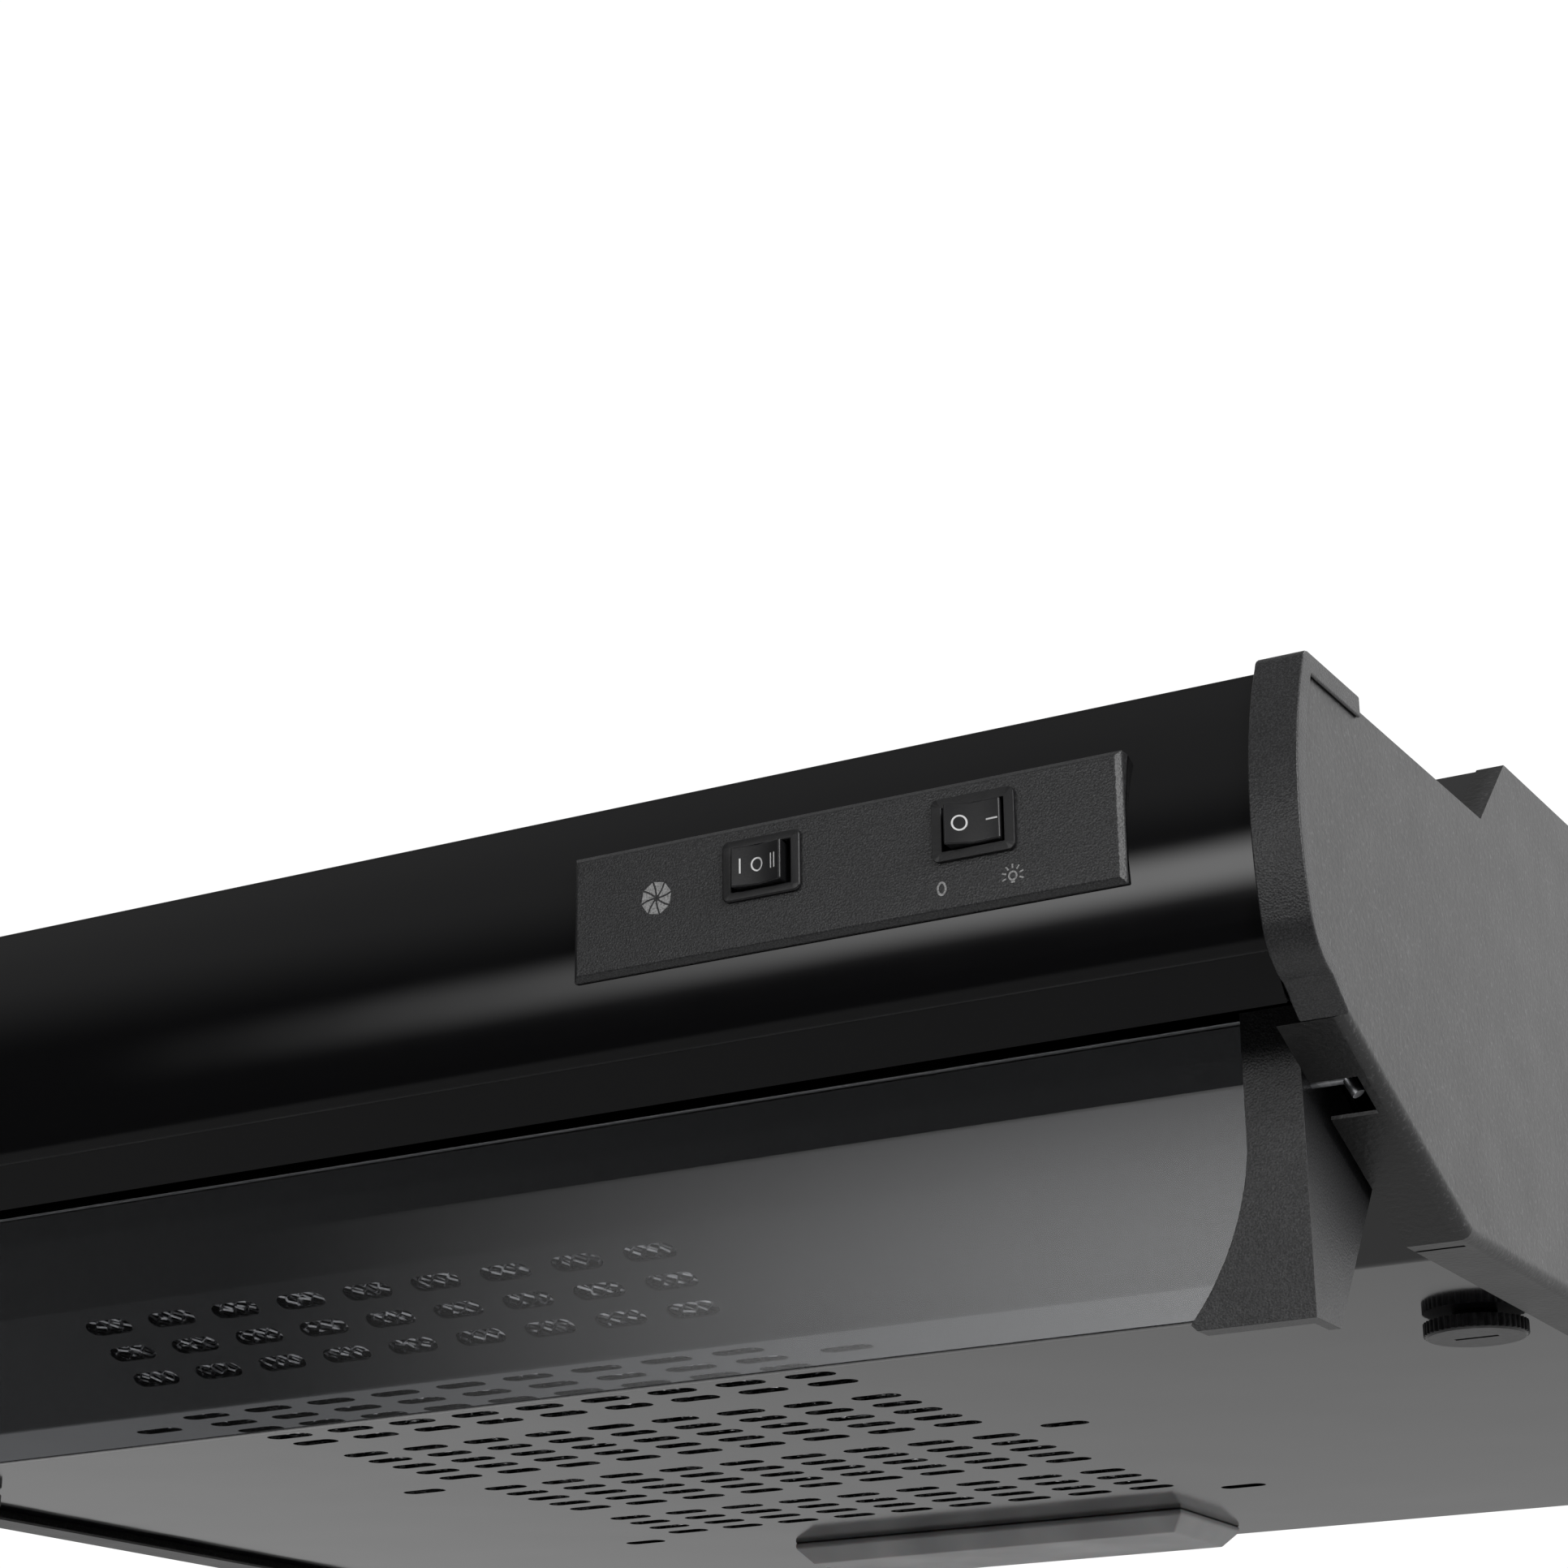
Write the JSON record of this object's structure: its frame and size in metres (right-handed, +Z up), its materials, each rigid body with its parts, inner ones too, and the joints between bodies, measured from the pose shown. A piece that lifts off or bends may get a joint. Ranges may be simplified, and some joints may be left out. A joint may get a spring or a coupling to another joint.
{
  "type": "under cabinet range hood",
  "caption": "Slim under-cabinet range hood with a rounded front, rocker controls, a drop-down perforated grille, a clear tilting visor, a rear lamp and a top duct outlet.",
  "frame": {"origin": "centre of the four cabinet screw holes, on the raised top face", "axes": "+X to the right along the front, +Y to the back wall, +Z up into the cabinet"},
  "size_m": [0.602, 0.5439, 0.1995],
  "materials": {
    "side_paint": "satin orange-peel",
    "gloss_black": "high gloss",
    "grained_plastic": "fine moulded grain",
    "switch_black": "satin",
    "plain_plastic": "satin",
    "terminal_brass": "tinned",
    "zinc_steel": "zinc plated",
    "bright_steel": "polished",
    "screw_steel": "zinc plated",
    "filter_mesh": "expanded mesh",
    "smoked_glass": "smoked clear",
    "frosted_cover": "frosted translucent",
    "lamp_glass": "clear",
    "cap_brass": "rolled thread",
    "lamp_socket_white": "thermoset",
    "blower_plastic": "moulded",
    "motor_paint": "satin",
    "capacitor_white": "satin"
  },
  "bodies": {
    "housing": {"back_panel": "gloss_black", "back_screws": "screw_steel", "blower_scroll_left": "blower_plastic", "blower_scroll_right": "blower_plastic", "bulb_cap": "cap_brass", "bulb_glass": "lamp_glass", "cable_gland": "plain_plastic", "capacitor": "capacitor_white", "capacitor_clamp": "zinc_steel", "collar_screws": "screw_steel", "control_plate": "grained_plastic", "end_cap_left": "grained_plastic", "end_cap_right": "grained_plastic", "fan_switch_body": "switch_black", "flap_rod": "bright_steel", "front_panel": "gloss_black", "hinge_bracket_left": "zinc_steel", "hinge_bracket_right": "zinc_steel", "hinge_pins": "bright_steel", "lamp_bracket": "zinc_steel", "lamp_socket": "lamp_socket_white", "latch_keepers": "zinc_steel", "light_switch_body": "switch_black", "motor_bearings": "bright_steel", "motor_body": "motor_paint", "motor_bracket": "zinc_steel", "motor_screws": "screw_steel", "outlet_collar": "plain_plastic", "side_wall_left": "side_paint", "side_wall_right": "side_paint", "switch_terminals": "terminal_brass", "terminal_box": "plain_plastic", "terminal_box_lid": "plain_plastic", "top_panel": "gloss_black"},
    "grille": {"grille_panel": "gloss_black", "grease_filter": "filter_mesh", "filter_wires": "bright_steel", "grille_hinge_ear_left": "zinc_steel", "grille_hinge_ear_right": "zinc_steel", "lamp_cover": "frosted_cover", "pivot_ear_left": "zinc_steel", "pivot_ear_right": "zinc_steel"},
    "visor": {"visor_glass": "smoked_glass", "visor_bracket_left": "grained_plastic", "visor_bracket_right": "grained_plastic", "visor_pin_left": "bright_steel", "visor_pin_right": "bright_steel"},
    "knob_left": {"latch_knob_left": "plain_plastic", "latch_tongue_left": "zinc_steel", "latch_screw_left": "screw_steel"},
    "knob_right": {"latch_knob_right": "plain_plastic", "latch_tongue_right": "zinc_steel", "latch_screw_right": "screw_steel"},
    "fan_rocker": {"fan_rocker": "switch_black"},
    "light_rocker": {"light_rocker": "switch_black"},
    "blower_rotor": {"impeller": "blower_plastic", "motor_shaft": "bright_steel"},
    "flap_left": {"flap_left": "plain_plastic"},
    "flap_right": {"flap_right": "plain_plastic"}
  },
  "joints": [
    {"name": "grille_swing", "type": "hinge", "parent": "housing", "child": "grille", "pos_m": [0, 0.198, -0.132], "axis": [1, 0, 0], "range_deg": [0, 70]},
    {"name": "visor_tilt", "type": "hinge", "parent": "grille", "child": "visor", "pos_m": [0, -0.2846, -0.1096], "axis": [1, 0, 0], "range_deg": [-20, 0]},
    {"name": "knob_left_turn", "type": "hinge", "parent": "grille", "child": "knob_left", "pos_m": [-0.2655, -0.132, -0.139], "axis": [0, 0, 1], "range_deg": [0, 90]},
    {"name": "knob_right_turn", "type": "hinge", "parent": "grille", "child": "knob_right", "pos_m": [0.2655, -0.132, -0.139], "axis": [0, 0, 1], "range_deg": [-90, 0]},
    {"name": "fan_rocker_tilt", "type": "hinge", "parent": "housing", "child": "fan_rocker", "pos_m": [0.1635, -0.332, -0.0505], "axis": [0, 0, 1], "range_deg": [-10, 10]},
    {"name": "light_rocker_tilt", "type": "hinge", "parent": "housing", "child": "light_rocker", "pos_m": [0.2205, -0.332, -0.0505], "axis": [0, 0, 1], "range_deg": [-20, 0]},
    {"name": "impeller_spin", "type": "hinge", "parent": "housing", "child": "blower_rotor", "pos_m": [0, -0.035, -0.071], "axis": [1, 0, 0], "continuous": true},
    {"name": "flap_left_lift", "type": "hinge", "parent": "housing", "child": "flap_left", "pos_m": [0, -0.035, 0.014], "axis": [0, 1, 0], "range_deg": [0, 75]},
    {"name": "flap_right_lift", "type": "hinge", "parent": "housing", "child": "flap_right", "pos_m": [0, -0.035, 0.014], "axis": [0, 1, 0], "range_deg": [-75, 0]}
  ]
}
